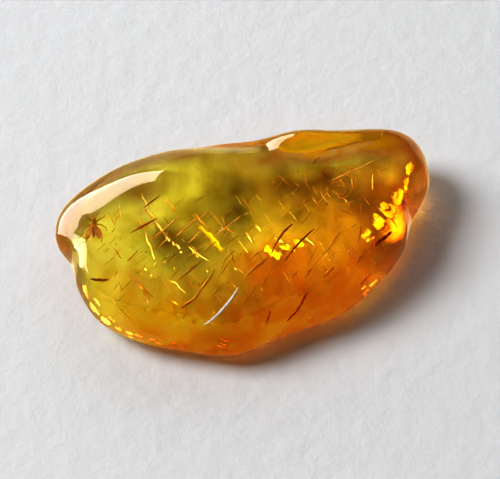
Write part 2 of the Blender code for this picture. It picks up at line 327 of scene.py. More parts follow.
# stains and painted shade in the resin near its underside: middle, half widths and tint. A wide
# honey one and a brown one behind it, two dark patches, orange along the front and right, one
# bright, one rusty. The brown one and the two dark patches are painted shade, where the paper
# under the nugget lies in shade and shows dark through the resin.
STAINS_AND_SHADE = (
    (8.0, -0.5, 17.0, 14.0, "#ffb62c"),
    (6.0, 6.0, 10.0, 4.6, "#684430"),
    (-1.2, 4.4, 4.8, 4.4, "#402a1c"),
    (-5.6, 1.2, 6.2, 5.4, "#5a3620"),
    (-0.5, -6.4, 18.0, 6.8, "#a67c40"),
    (-7.6, -7.4, 8.0, 4.8, "#a86c38"),
    (12.6, 6.6, 7.0, 6.0, "#b06c40"),
    (3.4, -1.6, 5.0, 3.6, "#ffb000"),
    (10.3, 4.0, 4.7, 3.2, "#e0b0b0"),
)
STAIN_AND_SHADE_HEIGHT = 3.0
# how far in from the outline each band of rind fades out, and how far in it is still whole
BROAD_RIND, NARROW_RIND = (7.5, 1.5), (3.2, 1.2)
RIND_PATCHES = (0.64, 0.42)  # the noise at which the rind is thinnest, and whole
BROAD_THINNEST, NARROW_THINNEST = 0.6, 0.86  # share of it that is left there
amber_polished = new_material("amber_polished")
tree = amber_polished.node_tree
place = node(tree, "ShaderNodeTexCoord")
drift = node(tree, "ShaderNodeTexNoise", inputs={"Scale": WANDER_WAVES, "Detail": 3.0},
             links={"Vector": place.outputs["Object"]})
about_zero = node(tree, "ShaderNodeVectorMath", {"operation": "SUBTRACT"},
                  {1: (0.5, 0.5, 0.5)}, {0: drift.outputs["Color"]})
wander = node(tree, "ShaderNodeVectorMath", {"operation": "MULTIPLY_ADD"}, {1: WANDER},
              {0: about_zero.outputs["Vector"], 2: place.outputs["Object"]})
warped = wander.outputs["Vector"]
apart = node(tree, "ShaderNodeSeparateXYZ", links={"Vector": warped})
height = node(tree, "ShaderNodeSeparateXYZ", links={"Vector": place.outputs["Object"]}).outputs["Z"]
underneath = smooth_step(tree, height, 1.6 * MM, 0.2 * MM)
colour = node(tree, "ShaderNodeRGB").outputs["Color"]
colour.default_value = linear("#fffef4")
# tints of stains and of painted shade, laid on in turn near the underside
for x, y, half_x, half_y, tint in STAINS_AND_SHADE:
    stain_and_shade = spot(tree, warped, (x, y, 0.0), (half_x, half_y, STAIN_AND_SHADE_HEIGHT))
    stain_and_shade = arithmetic(tree, "MULTIPLY", stain_and_shade, underneath)
    colour = tinted(tree, stain_and_shade, colour, linear(tint))
cloud = node(tree, "ShaderNodeTexNoise",
             inputs={"Scale": CLOUD_WAVES, "Detail": 5.0, "Roughness": 0.6},
             links={"Vector": place.outputs["Object"]})
cloudy = smooth_step(tree, cloud.outputs["Fac"], 0.42, 0.66)
cloudy = arithmetic(tree, "MULTIPLY", cloudy, underneath)
colour = tinted(tree, cloudy, colour, linear("#d8cc98"))
# The orange rind is left along the edge: a broad band on the right end and the front, and a
# narrow one all round that is worn off at the front left and on the polished top left.
inset = node(tree, "ShaderNodeAttribute", {"attribute_name": "inset"}).outputs["Fac"]
patches = node(tree, "ShaderNodeTexNoise",
               inputs={"Scale": RIND_WAVES, "Detail": 5.0, "Distortion": 0.6},
               links={"Vector": place.outputs["Object"]}).outputs["Fac"]
off_floor = smooth_step(tree, height, 0.04 * MM, 0.25 * MM)
to_right = smooth_step(tree, apart.outputs["X"], 3 * MM, 16 * MM)
off_back = smooth_step(tree, apart.outputs["Y"], 8 * MM, 2 * MM)
to_front = smooth_step(tree, apart.outputs["Y"], 0.0, -9 * MM)
off_left = smooth_step(tree, apart.outputs["X"], -16.5 * MM, -9.5 * MM)
sides = arithmetic(tree, "MAXIMUM", arithmetic(tree, "MULTIPLY", to_right, off_back),
                   arithmetic(tree, "MULTIPLY", to_front, off_left))
broad = arithmetic(tree, "MULTIPLY", smooth_step(tree, inset, *BROAD_RIND), sides)
broad = arithmetic(tree, "MULTIPLY", broad,
                   smooth_step(tree, patches, *RIND_PATCHES, BROAD_THINNEST))
narrow = arithmetic(tree, "MULTIPLY", smooth_step(tree, inset, *NARROW_RIND),
                    smooth_step(tree, patches, *RIND_PATCHES, NARROW_THINNEST))
worn_spot = spot(tree, warped, (-11.6, -8.8, 2.5), (7.5, 4.2, 9.0))
narrow = arithmetic(tree, "MULTIPLY", narrow, smooth_step(tree, worn_spot, 0.0, 1.0, 1.0, 0.0))
low_down = smooth_step(tree, height, 6.5 * MM, 4.2 * MM)
past_middle = smooth_step(tree, apart.outputs["X"], -6 * MM, 0.0)
unpolished = arithmetic(tree, "MAXIMUM", low_down, past_middle)
narrow = arithmetic(tree, "MULTIPLY", narrow, unpolished)
behind_left = spot(tree, warped, (-8.5, 9.6, 0.5), (7.5, 4.6, 4.0))
for rind, tint in ((broad, "#f0a828"), (narrow, "#e88400"), (behind_left, "#d86400")):
    colour = tinted(tree, arithmetic(tree, "MULTIPLY", rind, off_floor), colour, linear(tint))
rough = smooth_step(tree, height, 1.8 * MM, 0.3 * MM, AMBER_POLISHED, AMBER_MATT)
ripple = node(tree, "ShaderNodeTexNoise",
              inputs={"Scale": RIPPLE_WAVES, "Detail": 2.0, "Roughness": 0.4},
              links={"Vector": place.outputs["Object"]})
bump = node(tree, "ShaderNodeBump", inputs={"Strength": 0.10, "Distance": RIPPLE_DEPTH},
            links={"Height": ripple.outputs["Fac"]})
shell = node(tree, "ShaderNodeBsdfPrincipled",
             inputs={"IOR": AMBER_INDEX, "Transmission Weight": 1.0,
                     "Specular Tint": linear("#ffeac8")},
             links={"Base Color": colour, "Roughness": rough, "Normal": bump.outputs["Normal"]})
depth = node(tree, "ShaderNodeVolumeAbsorption",
             inputs={"Color": AMBER_COLOUR, "Density": AMBER_DENSITY})
node(tree, "ShaderNodeOutputMaterial",
     links={"Surface": shell.outputs["BSDF"], "Volume": depth.outputs["Volume"]})

# Stress cracks are thin gaps inside the resin, in two sets that cross. Their walls belong to the
# amber's own surface, with their faces towards the gap. Ends and middle of each, in millimetres.
EDGE_ON = np.array((0.0, -0.372, 0.928))  # the cracks stand almost upright and lean to the front


def standing(cracks, scatter, chance):
    """The way each crack faces when it stands on edge along EDGE_ON, give or take the scatter."""
    lean = EDGE_ON + chance.normal(0.0, scatter, (len(cracks), 3))
    return np.cross(cracks[:, 2] - cracks[:, 0], lean)


def strewn(count, chance, reach, slant, band, limits):
    """Chance places along the nugget, x, and across it, y, in a band that follows its slant."""
    x = chance.uniform(*reach, count)
    return x, np.clip(slant * x + chance.uniform(*band, count), *limits)


def through(middle, turn, half, rise):
    """Start, middle and end of cracks that run half their length each way along a bearing."""
    run = np.stack((np.cos(turn) * half, np.sin(turn) * half, rise), axis=-1)
    return np.stack((middle - run, middle, middle + run), axis=1)


LONG_GAPS = np.array((
    ((-8.5, -2.5, 6.9), (-7.3, -1.2, 7.2), (-6.1, 0.0, 7.5)),
    ((-2.8, -2.2, 7.7), (-1.9, -1.5, 7.8), (-1.0, -0.8, 7.9)),
    ((-8.7, -6.6, 6.2), (-8.1, -6.3, 6.3), (-7.4, -6.0, 6.4)),
    ((-11.5, -7.4, 4.9), (-11.2, -7.3, 5.3), (-10.8, -7.2, 5.8)),
    ((4.8, -1.7, 5.3), (5.8, -1.9, 5.2), (6.9, -2.1, 5.1)),
))
LONG_GAP_WIDTHS = np.array((0.6, 0.5, 0.5, 0.4, 1.2))
GAP_THICKNESS = 0.05
FINE_GAPS = 34  # short hair cracks between the long ones
ONE_WAY, OTHER_WAY = 52.0, -58.0  # bearings of the two sets in degrees
ONE_WAY_SHARE = 0.6
FINE_HEIGHTS, FINE_HALF_LENGTHS, FINE_WIDTHS = (2.6, 6.6), (0.25, 0.75), (0.15, 0.5)
BEARING_SCATTER, RISE_SCATTER, GAP_SCATTER = 9.0, 0.08, 0.1
chance = np.random.default_rng(5)
fine_x, fine_y = strewn(FINE_GAPS, chance, reach=(-13.0, 13.0), slant=0.22, band=(-7.5, 5.5),
                        limits=(-9.0, 8.0))
fine_middle = np.stack((fine_x, fine_y, chance.uniform(*FINE_HEIGHTS, FINE_GAPS)), axis=-1)
fine_turn = np.radians(np.where(chance.random(FINE_GAPS) < ONE_WAY_SHARE, ONE_WAY, OTHER_WAY)
                       + chance.normal(0.0, BEARING_SCATTER, FINE_GAPS))
fine_gaps = through(fine_middle, fine_turn, chance.uniform(*FINE_HALF_LENGTHS, FINE_GAPS),
                    chance.normal(0.0, RISE_SCATTER, FINE_GAPS))
gap_lines = np.concatenate((LONG_GAPS, fine_gaps))
gap_widths = np.concatenate((LONG_GAP_WIDTHS, chance.uniform(*FINE_WIDTHS, FINE_GAPS)))
gaps = blades(gap_lines, gap_widths, GAP_THICKNESS, standing(gap_lines, GAP_SCATTER, chance), seed=11)
blade_faces = closed_quads(BLADE_STATIONS, BLADE_SIDES)

# tiny gas bubbles, hollows of the same kind
BUBBLES, BUBBLE_RINGS, BUBBLE_SIDES = 26, 7, 10
BUBBLE_HEIGHTS, BUBBLE_RADII = (4.5, 7.0), (0.04, 0.11)
bubble_x, bubble_y = strewn(BUBBLES, chance, reach=(-12.0, 12.0), slant=0.25, band=(-6.0, 5.0),
                            limits=(-8.0, 8.0))
bubble_middle = np.stack((bubble_x, bubble_y, chance.uniform(*BUBBLE_HEIGHTS, BUBBLES)), axis=-1)
bubble_radius = chance.uniform(*BUBBLE_RADII, BUBBLES)[:, None, None]
latitude = np.linspace(-np.pi / 2, np.pi / 2, BUBBLE_RINGS)[:, None]
turn = np.linspace(0.0, 2 * np.pi, BUBBLE_SIDES, endpoint=False)
ball = np.stack((np.cos(latitude) * np.cos(turn), np.cos(latitude) * np.sin(turn),
                 np.sin(latitude) + 0.0 * turn), axis=-1)
bubbles = (bubble_middle[:, None, None] + bubble_radius[..., None] * ball) * MM
bubble_faces = closed_quads(BUBBLE_RINGS, BUBBLE_SIDES)[:, ::-1]

AROUND = 480
surface, inset = nugget_surface(AROUND, floor_rows=12, under_rows=40, edge_rows=70, top_rows=60)
in_the_middle = np.full((gaps.size + bubbles.size) // 3, inset.max())
amber_parts = [(surface.reshape(-1, 3), closed_quads(len(surface), AROUND))]
amber_parts += [(gap.reshape(-1, 3), blade_faces) for gap in gaps]
amber_parts += [(bubble.reshape(-1, 3), bubble_faces) for bubble in bubbles]
amber = mesh_object("amber", amber_parts, amber_polished, "inset",
                    np.concatenate((inset.ravel(), in_the_middle)))
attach(amber, "root")
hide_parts("amber_upper", "amber_lower")


# ---------------------------------------------------------------- Bright cracks
# Cracks whose walls are gold mirrors, for the total reflection off a crack inside the resin, so they
# shine gold where they face the light; their tan and rust tones are painted shade, for cracks turned
# from it.
# Each is a thin closed blade, wholly inside the amber. They run in two sets that cross: the ones
# that run down to the right lie open and flat, and the others stand on edge.

# tones that the films are given: saturated yellow, gold, plain tan, and rust at 1; tan and rust are
# painted shade
YELLOW, GOLD, TAN = -0.15, 0.08, 0.33
# the flat set: start, middle and end in mm, then width
OPEN_CRACKS = (
    ((-11.4, 2.6, 6.3), (-11.4, 1.3, 6.2), (-11.3, 0.0, 6.2), 0.14),
    ((-9.4, 3.2, 6.7), (-8.4, 0.4, 6.8), (-6.7, -2.5, 6.7), 0.22),
    ((-9.1, -0.9, 6.3), (-8.7, -2.5, 6.2), (-8.1, -4.5, 6.1), 0.34),
    ((-8.2, -0.2, 6.3), (-7.2, -1.5, 6.3), (-6.7, -2.3, 6.3), 0.36),
    ((-4.3, -0.4, 6.4), (-3.0, -1.9, 6.2), (-1.8, -3.4, 5.9), 0.55),
    ((-5.2, -3.1, 7.0), (-4.1, -4.1, 6.9), (-3.1, -4.8, 6.8), 0.18),
    ((-7.0, -6.6, 6.4), (-6.1, -7.0, 6.3), (-5.3, -7.6, 5.9), 0.24),
    ((-9.3, -6.6, 5.7), (-8.9, -7.2, 5.3), (-8.6, -7.7, 4.6), 0.30),
    ((-8.2, -8.3, 5.2), (-8.0, -8.5, 5.0), (-7.8, -8.6, 4.7), 0.26),
    ((-6.7, -8.0, 6.0), (-6.4, -8.1, 5.8), (-6.1, -8.3, 5.7), 0.20),
    ((0.2, -1.5, 6.9), (0.5, -2.1, 6.8), (0.8, -2.7, 6.7), 0.40),
    ((1.0, -0.7, 6.9), (1.3, -1.1, 6.8), (1.6, -1.5, 6.8), 0.36),
    ((1.8, -2.2, 5.0), (2.6, -2.7, 4.8), (3.5, -3.1, 4.6), 0.85),
    ((3.1, -1.9, 4.7), (4.0, -2.2, 4.6), (4.9, -2.5, 4.5), 0.70),
    ((10.2, 5.1, 6.8), (10.2, 4.3, 6.8), (10.2, 3.5, 6.8), 0.16),
    ((12.3, 5.4, 6.6), (12.2, 4.5, 6.6), (12.1, 3.5, 6.6), 0.24),
    ((9.2, 2.7, 6.5), (9.6, 2.2, 6.5), (9.9, 1.7, 6.4), 0.20),
    ((-7.2, -2.0, 6.9), (-7.0, -2.3, 6.9), (-6.8, -2.6, 6.9), 0.30),
    ((-6.3, -2.8, 6.9), (-6.1, -3.1, 6.9), (-5.9, -3.3, 6.9), 0.30),
    ((4.4, -1.5, 5.4), (5.0, -2.0, 5.3), (5.7, -2.4, 5.2), 0.60),
    ((5.6, -1.4, 5.4), (6.1, -1.8, 5.3), (6.6, -2.3, 5.2), 0.35),
    ((2.7, -1.3, 5.2), (3.2, -1.6, 5.2), (3.8, -2.0, 5.1), 0.40),
)
# open cracks near the edge: start, middle and end in mm, the way they face, and width
EDGE_CRACKS = (
    ((-14.4, -5.0, 4.4), (-14.2, -5.6, 4.0), (-13.9, -6.2, 3.7), (-0.57, -0.55, 0.61), 0.30),
    ((-13.8, -6.2, 3.6), (-13.3, -6.8, 3.3), (-12.9, -7.2, 3.0), (-0.52, -0.62, 0.59), 0.45),
    ((-12.9, -7.2, 2.9), (-12.5, -7.4, 2.7), (-11.8, -7.8, 2.5), (-0.47, -0.70, 0.54), 0.60),
    ((-11.7, -8.0, 2.5), (-11.4, -8.2, 2.4), (-10.9, -8.4, 2.4), (-0.41, -0.75, 0.52), 0.40),
    ((-10.8, -8.5, 2.5), (-10.4, -8.8, 2.5), (-10.0, -9.0, 2.6), (-0.37, -0.76, 0.53), 0.40),
    ((-10.0, -9.0, 2.7), (-9.6, -9.2, 2.6), (-9.2, -9.3, 2.6), (-0.33, -0.77, 0.54), 0.35),
    ((-8.7, -9.5, 2.6), (-8.3, -9.6, 2.6), (-8.0, -9.6, 2.5), (-0.28, -0.79, 0.54), 0.30),
    ((-6.8, -9.9, 2.6), (-6.5, -10.0, 2.5), (-6.2, -10.1, 2.5), (-0.25, -0.80, 0.54), 0.25),
    ((-2.6, -10.5, 2.9), (-2.0, -10.6, 2.7), (-1.3, -10.6, 2.5), (-0.18, -0.78, 0.60), 0.15),
    ((5.6, -7.9, 2.7), (6.0, -7.8, 2.6), (6.4, -7.6, 2.6), (0.03, -0.83, 0.56), 0.15),
    ((15.6, 7.2, 6.4), (15.3, 6.5, 6.3), (15.1, 5.9, 6.3), (0.05, -0.20, 0.98), 0.50),
    ((15.1, 5.7, 6.2), (14.9, 5.0, 6.1), (14.7, 4.3, 6.1), (0.04, -0.24, 0.97), 0.60),
    ((14.6, 4.3, 6.2), (14.2, 3.3, 6.3), (13.8, 2.2, 6.4), (0.04, -0.21, 0.98), 0.90),
    ((13.7, 2.2, 6.4), (13.4, 1.5, 6.5), (13.0, 0.8, 6.6), (-0.02, -0.21, 0.98), 1.10),
    ((12.9, 0.6, 6.6), (12.5, 0.1, 6.6), (12.0, -0.5, 6.7), (-0.06, -0.23, 0.97), 0.90),
    ((11.7, -0.8, 6.7), (11.3, -1.2, 6.7), (10.8, -1.6, 6.7), (-0.07, -0.24, 0.97), 0.60),
    ((11.2, -3.3, 1.9), (11.6, -2.9, 1.9), (12.0, -2.5, 1.9), (0.18, -0.48, 0.86), 0.70),
    ((10.4, -3.8, 1.7), (10.8, -3.5, 1.7), (11.1, -3.2, 1.7), (0.18, -0.48, 0.86), 0.45),
)
# the standing set: start, middle and end in mm, then width, thickness and tone
STANDING_CRACKS = (
    ((-2.7, -5.7, 7.1), (-4.2, -7.5, 6.2), (-6.0, -8.4, 5.1), 0.6, 0.14, 0.1),
    ((2.5, -4.1, 7.0), (1.3, -5.0, 6.8), (-0.2, -6.3, 6.5), 0.5, 0.15, 0.1),
    ((9.4, -1.5, 7.0), (7.6, -3.4, 6.9), (5.9, -5.1, 6.2), 0.5, 0.15, 0.2),
    ((8.3, -4.2, 6.0), (7.7, -4.7, 5.8), (7.1, -5.2, 5.5), 0.5, 0.14, 0.1),
    ((-5.6, -8.9, 4.5), (-5.4, -8.6, 5.0), (-5.3, -8.4, 5.6), 0.5, 0.14, 0.2),
    ((-6.3, -2.4, 7.8), (-5.3, -1.5, 8.1), (-4.3, -0.6, 8.3), 0.7, 0.20, TAN),
    ((-5.2, -3.1, 7.5), (-4.5, -2.4, 7.7), (-3.9, -1.7, 7.8), 0.6, 0.18, TAN),
    ((-3.3, 0.5, 8.0), (-1.8, -1.5, 7.8), (-0.6, -1.9, 7.7), 0.5, 0.14, TAN),
    ((-10.9, -5.6, 5.9), (-9.3, -6.8, 5.8), (-8.2, -7.5, 5.5), 0.5, 0.12, 0.5),
    ((12.7, 6.7, 7.6), (10.4, 5.2, 7.8), (7.9, 3.7, 8.0), 0.6, 0.15, TAN),
    ((14.1, 6.3, 7.0), (13.4, 5.8, 7.0), (12.7, 5.3, 7.1), 0.5, 0.13, TAN),
    ((5.8, -6.0, 5.1), (4.8, -6.8, 3.6), (3.4, -7.1, 2.2), 0.5, 0.13, 0.3),
    ((2.0, -7.4, 3.9), (1.8, -7.6, 3.3), (1.5, -7.8, 2.7), 0.4, 0.12, 0.3),
    ((-10.6, -1.5, 6.7), (-9.2, -0.8, 7.1), (-7.9, -0.1, 7.4), 0.7, 0.18, 0.9),
    ((-9.6, 0.9, 7.3), (-8.7, 1.6, 7.6), (-7.7, 2.3, 7.9), 0.5, 0.13, 1.0),
    ((-6.1, -6.7, 6.4), (-5.0, -5.7, 6.6), (-3.9, -4.7, 6.8), 0.6, 0.13, 0.7),
    ((-13.9, -5.0, 5.0), (-13.1, -5.6, 5.5), (-12.3, -6.0, 6.0), 0.5, 0.11, 0.9),
    ((4.6, -1.0, 7.7), (3.5, -2.2, 7.7), (2.5, -4.3, 7.4), 0.6, 0.15, 1.0),
    ((6.7, -1.3, 7.5), (5.1, -3.0, 7.4), (3.7, -4.8, 7.1), 0.7, 0.20, 1.0),
    ((13.4, 0.4, 5.3), (12.6, -0.6, 5.5), (11.8, -1.6, 5.7), 0.6, 0.15, 1.0),
    ((7.3, 7.6, 7.6), (8.2, 7.9, 7.5), (9.0, 8.1, 7.3), 0.4, 0.10, 0.7),
    ((8.1, 6.8, 7.4), (7.7, 6.0, 7.4), (7.3, 5.2, 7.4), 0.4, 0.12, 0.6),
    ((7.3, 5.2, 7.3), (7.8, 4.6, 7.2), (8.2, 3.9, 7.2), 0.5, 0.11, 0.9),
    ((8.2, 3.9, 7.2), (8.8, 4.3, 7.1), (9.4, 4.7, 7.1), 0.5, 0.12, 0.5),
    ((9.5, 6.1, 7.3), (10.1, 5.7, 7.2), (10.6, 5.4, 7.2), 0.4, 0.11, 0.6),
    ((10.6, 5.5, 7.0), (10.4, 4.5, 7.0), (10.2, 3.6, 7.0), 0.5, 0.13, 0.5),
    ((8.6, 2.8, 6.9), (9.3, 2.5, 6.8), (10.0, 2.1, 6.8), 0.6, 0.13, 0.7),
    ((10.0, 2.1, 6.8), (10.5, 2.5, 6.7), (11.1, 2.9, 6.7), 0.5, 0.12, 0.8),
    ((11.1, 1.9, 6.5), (11.0, 1.1, 6.4), (10.9, 0.2, 6.4), 0.5, 0.11, 0.5),
    ((8.9, 1.2, 6.6), (9.5, 0.9, 6.6), (10.2, 0.6, 6.5), 0.6, 0.12, 0.8),
    ((7.6, 3.3, 7.0), (8.0, 2.8, 7.0), (8.3, 2.3, 6.9), 0.4, 0.11, 0.8),
    ((6.4, 5.9, 7.6), (6.8, 6.4, 7.6), (7.2, 6.9, 7.6), 0.4, 0.10, 0.7),
    ((12.2, 7.8, 7.1), (12.8, 7.6, 7.1), (13.3, 7.3, 7.1), 0.4, 0.10, 0.6),
    ((8.5, 8.3, 7.9), (9.0, 8.5, 7.8), (9.5, 8.7, 7.7), 0.3, 0.09, 0.5),
)
# a curl of rusty cracks: centre, then for each arc its radius, its bearing and half its spread
CURL_CENTRE = np.array((9.0, 3.3, 6.9))
CURL_LIFT = 0.15  # each arc waves up and down by this
CURL_WIDTH, CURL_THICKNESS = 0.3, 0.07
CURL_ARCS = (
    (1.9, 60.0, 30.0), (2.0, 130.0, 28.0), (1.8, 205.0, 32.0), (1.7, 290.0, 36.0),
    (1.1, 20.0, 40.0), (1.0, 110.0, 42.0), (1.2, 200.0, 35.0), (1.0, 300.0, 40.0),
    (0.5, 70.0, 50.0), (0.5, 240.0, 60.0),
)
# more of the standing set where the two sets cross most closely, left of the middle
LATTICE_CRACKS = (
    ((-9.0, -2.8, 7.1), (-7.3, -1.4, 7.5), (-5.8, 0.0, 7.9), 0.6, 0.17, TAN),
    ((-4.1, -0.7, 8.3), (-3.6, -0.2, 8.4), (-3.3, 0.4, 8.4), 0.5, 0.14, TAN),
    ((-2.7, -2.5, 7.7), (-1.4, -1.3, 7.9), (-0.1, -0.1, 8.0), 0.5, 0.12, TAN),
    ((-7.2, -5.0, 6.8), (-6.6, -4.3, 6.9), (-6.1, -3.9, 7.0), 0.5, 0.10, 0.8),
    ((-7.9, -3.2, 6.7), (-7.3, -2.5, 6.8), (-6.7, -2.1, 7.0), 0.5, 0.12, TAN),
    ((-1.7, -3.3, 7.2), (-1.0, -2.6, 7.4), (-0.4, -2.1, 7.4), 0.5, 0.10, 0.7),
    ((-6.8, -6.6, 6.6), (-6.3, -6.0, 6.7), (-5.7, -5.4, 6.8), 0.4, 0.10, 0.6),
    ((-3.7, -4.0, 7.1), (-3.1, -3.3, 7.2), (-2.5, -2.8, 7.3), 0.4, 0.10, 0.7),
    ((0.7, -4.7, 6.7), (1.3, -3.9, 6.8), (2.0, -3.4, 6.9), 0.5, 0.12, 0.4),
    ((-10.9, -4.6, 6.3), (-10.2, -3.9, 6.5), (-9.7, -3.3, 6.6), 0.4, 0.10, 0.8),
    ((-2.1, -5.0, 6.5), (-1.4, -4.1, 6.7), (-0.8, -3.5, 6.8), 0.4, 0.10, 0.8),
)
# gold flecks between them: middle in mm, length and width
FLECKS = (
    (-6.5, -2.8, 6.9, 0.50, 0.32), (-6.0, -3.2, 6.9, 0.60, 0.36), (-5.8, -3.7, 6.8, 0.35, 0.25),
    (-4.7, -3.7, 6.9, 0.60, 0.25), (-4.3, -4.2, 6.8, 0.50, 0.25), (-9.0, -5.3, 6.1, 0.45, 0.30),
    (-8.5, -6.0, 6.1, 0.40, 0.25), (-3.4, -5.8, 6.8, 0.40, 0.28), (-7.3, -4.7, 6.6, 0.30, 0.22),
    (-6.4, -5.4, 6.6, 0.35, 0.22), (-2.8, -8.9, 5.3, 0.35, 0.28), (-4.6, -9.4, 4.7, 0.30, 0.25),
    (1.5, -6.8, 5.8, 0.40, 0.20), (-9.4, -6.7, 5.8, 0.45, 0.30), (-1.7, -4.5, 6.6, 0.40, 0.30),
    (-0.8, -5.3, 6.4, 0.35, 0.25),
)
TOWARDS_LIGHT = np.array((-0.160, -0.195, 0.968))  # how the open ones face, give or take a little
HAIR_BEARING_SCATTER, HAIR_RISE_SCATTER = 8.0, 0.05  # degrees and millimetres


def hair_cracks(count, bearing, chance, heights, lengths):
    """Start, middle and end of short level cracks, scattered over the nugget's length."""
    x, y = strewn(count, chance, reach=(-12.5, 13.0), slant=0.25, band=(-7.0, 4.8),
                  limits=(-8.5, 7.5))
    middle = np.stack((x, y, chance.uniform(*heights, count)), axis=-1)
    turn = np.radians(bearing + chance.normal(0.0, HAIR_BEARING_SCATTER, count))
    half = chance.uniform(*lengths, count) / 2
    return through(middle, turn, half, chance.normal(0.0, HAIR_RISE_SCATTER, count))


def squared_to(cracks, facing):
    """The cracks turned to lie in the plane through their middles that faces the given way."""
    facing = facing / np.linalg.norm(facing, axis=1)[:, None]
    run = cracks - cracks[:, 1:2]
    tilt = (run * facing[:, None]).sum(axis=-1, keepdims=True)
    return cracks - tilt * facing[:, None]


def parted(table):
    """A table of cracks parted into their three points and the columns of numbers that follow."""
    points = np.array([row[:3] for row in table])
    return points, np.array([np.hstack(row[3:]) for row in table]).T


chance = np.random.default_rng(23)

# the flat set and its hair cracks: the widest are a duller, deeper yellow
FINE_OPEN = 90
FINE_OPEN_WIDTHS, FINE_OPEN_TONES = (0.03, 0.14), (0.0, 0.6)
OPEN_SCATTER = 0.07
WIDE = 0.5
THICKNESS_SHARE, WIDEST_SHARED = 0.5, 0.12  # half as thick as wide, up to this width
open_lines, (open_widths,) = parted(OPEN_CRACKS)
open_lines = np.concatenate((open_lines, hair_cracks(
    FINE_OPEN, OTHER_WAY, chance, heights=(3.4, 6.6), lengths=(0.3, 2.2))))
facing = TOWARDS_LIGHT + chance.normal(0.0, OPEN_SCATTER, (len(open_lines), 3))
open_tones = np.where(open_widths > WIDE, YELLOW, GOLD)
open_widths = np.concatenate((open_widths, chance.uniform(*FINE_OPEN_WIDTHS, FINE_OPEN)))
open_tones = np.concatenate((open_tones, chance.uniform(*FINE_OPEN_TONES, FINE_OPEN)))
open_films = blades(squared_to(open_lines, facing), open_widths,
                    np.minimum(open_widths, WIDEST_SHARED) * THICKNESS_SHARE, facing, seed=31)

# the standing set and its hair cracks
FINE_STANDING = 70
FINE_STANDING_WIDTHS, FINE_STANDING_THICKNESSES = (0.1, 0.4), (0.03, 0.09)
FINE_STANDING_TONES = (0.2, 1.0)
STANDING_SCATTER = 0.12
upright_lines, (widths, thicknesses, upright_tones) = parted(STANDING_CRACKS)
upright_lines = np.concatenate((upright_lines, hair_cracks(
    FINE_STANDING, ONE_WAY, chance, heights=(3.6, 7.0), lengths=(0.3, 2.6))))
widths = np.concatenate((widths, chance.uniform(*FINE_STANDING_WIDTHS, FINE_STANDING)))
thicknesses = np.concatenate((thicknesses,
                              chance.uniform(*FINE_STANDING_THICKNESSES, FINE_STANDING)))
upright_films = blades(upright_lines, widths, thicknesses,
                       standing(upright_lines, STANDING_SCATTER, chance), seed=37)
upright_tones = np.concatenate((upright_tones, chance.uniform(*FINE_STANDING_TONES, FINE_STANDING)))

# the ones near the edge, each with its splinters; the high ones on the right are deeper yellow
SPLINTERS = 3
SPLINTER_SCATTER, SPLINTER_SIZES = 0.35, (0.25, 0.7)
EDGE_SCATTER = 0.03
EDGE_THICKNESS = 0.03
HIGH_UP = 5.0
edge_lines, edge_numbers = parted(EDGE_CRACKS)
edge_lines = edge_lines.repeat(1 + SPLINTERS, axis=0)
edge_facing = edge_numbers[:3].T.repeat(1 + SPLINTERS, axis=0)
edge_widths = edge_numbers[3].repeat(1 + SPLINTERS)
beside = np.arange(len(edge_lines)) % (1 + SPLINTERS) > 0
stray = chance.normal(0.0, SPLINTER_SCATTER, (len(edge_lines), 1, 3))
middle = edge_lines[:, 1:2] + beside[:, None, None] * stray
size = np.where(beside, chance.uniform(*SPLINTER_SIZES, len(edge_lines)), 1.0)
edge_facing = edge_facing + chance.normal(0.0, EDGE_SCATTER, edge_facing.shape)
edge_lines = squared_to(middle + (edge_lines - edge_lines[:, 1:2]) * size[:, None, None], edge_facing)
edge_films = blades(edge_lines, edge_widths * size, EDGE_THICKNESS, edge_facing, seed=43)
edge_tones = np.where(edge_lines[:, 1, 2] > HIGH_UP, YELLOW, 0.0)

# the curl
CURL_SCATTER, CURL_TONES = 0.3, (0.15, 0.6)
radius, bearing, spread = np.array(CURL_ARCS).T[:, :, None]
turn = np.radians(bearing + spread * np.array((-1.0, 0.0, 1.0)))
curl_lines = CURL_CENTRE + np.stack(
    (radius * np.cos(turn), radius * np.sin(turn), CURL_LIFT * np.sin(3 * turn)), axis=-1)
curl_films = blades(curl_lines, CURL_WIDTH, CURL_THICKNESS,
                    standing(curl_lines, CURL_SCATTER, chance), seed=41)
curl_tones = chance.uniform(*CURL_TONES, len(curl_lines))

# the lattice and its flecks
LATTICE_SCATTER = 0.08
FLECK_THICKNESS = 0.06
FLECK_BEARING_SCATTER, FLECK_SCATTER = 15.0, 0.03
chance = np.random.default_rng(29)
lattice_lines, (widths, thicknesses, lattice_tones) = parted(LATTICE_CRACKS)
lattice_films = blades(lattice_lines, widths, thicknesses,
                       standing(lattice_lines, LATTICE_SCATTER, chance), seed=47)
flecks = np.array(FLECKS)
turn = np.radians(OTHER_WAY + chance.normal(0.0, FLECK_BEARING_SCATTER, len(flecks)))
fleck_lines = through(flecks[:, :3], turn, flecks[:, 3] / 2, np.zeros(len(flecks)))
facing = TOWARDS_LIGHT + chance.normal(0.0, FLECK_SCATTER, (len(flecks), 3))
fleck_films = blades(squared_to(fleck_lines, facing), flecks[:, 4], FLECK_THICKNESS, facing, seed=53)
films = np.concatenate((open_films, upright_films, edge_films, curl_films, lattice_films, fleck_films))
tones = np.concatenate((open_tones, upright_tones, edge_tones, curl_tones, lattice_tones,
                        np.full(len(flecks), GOLD)))
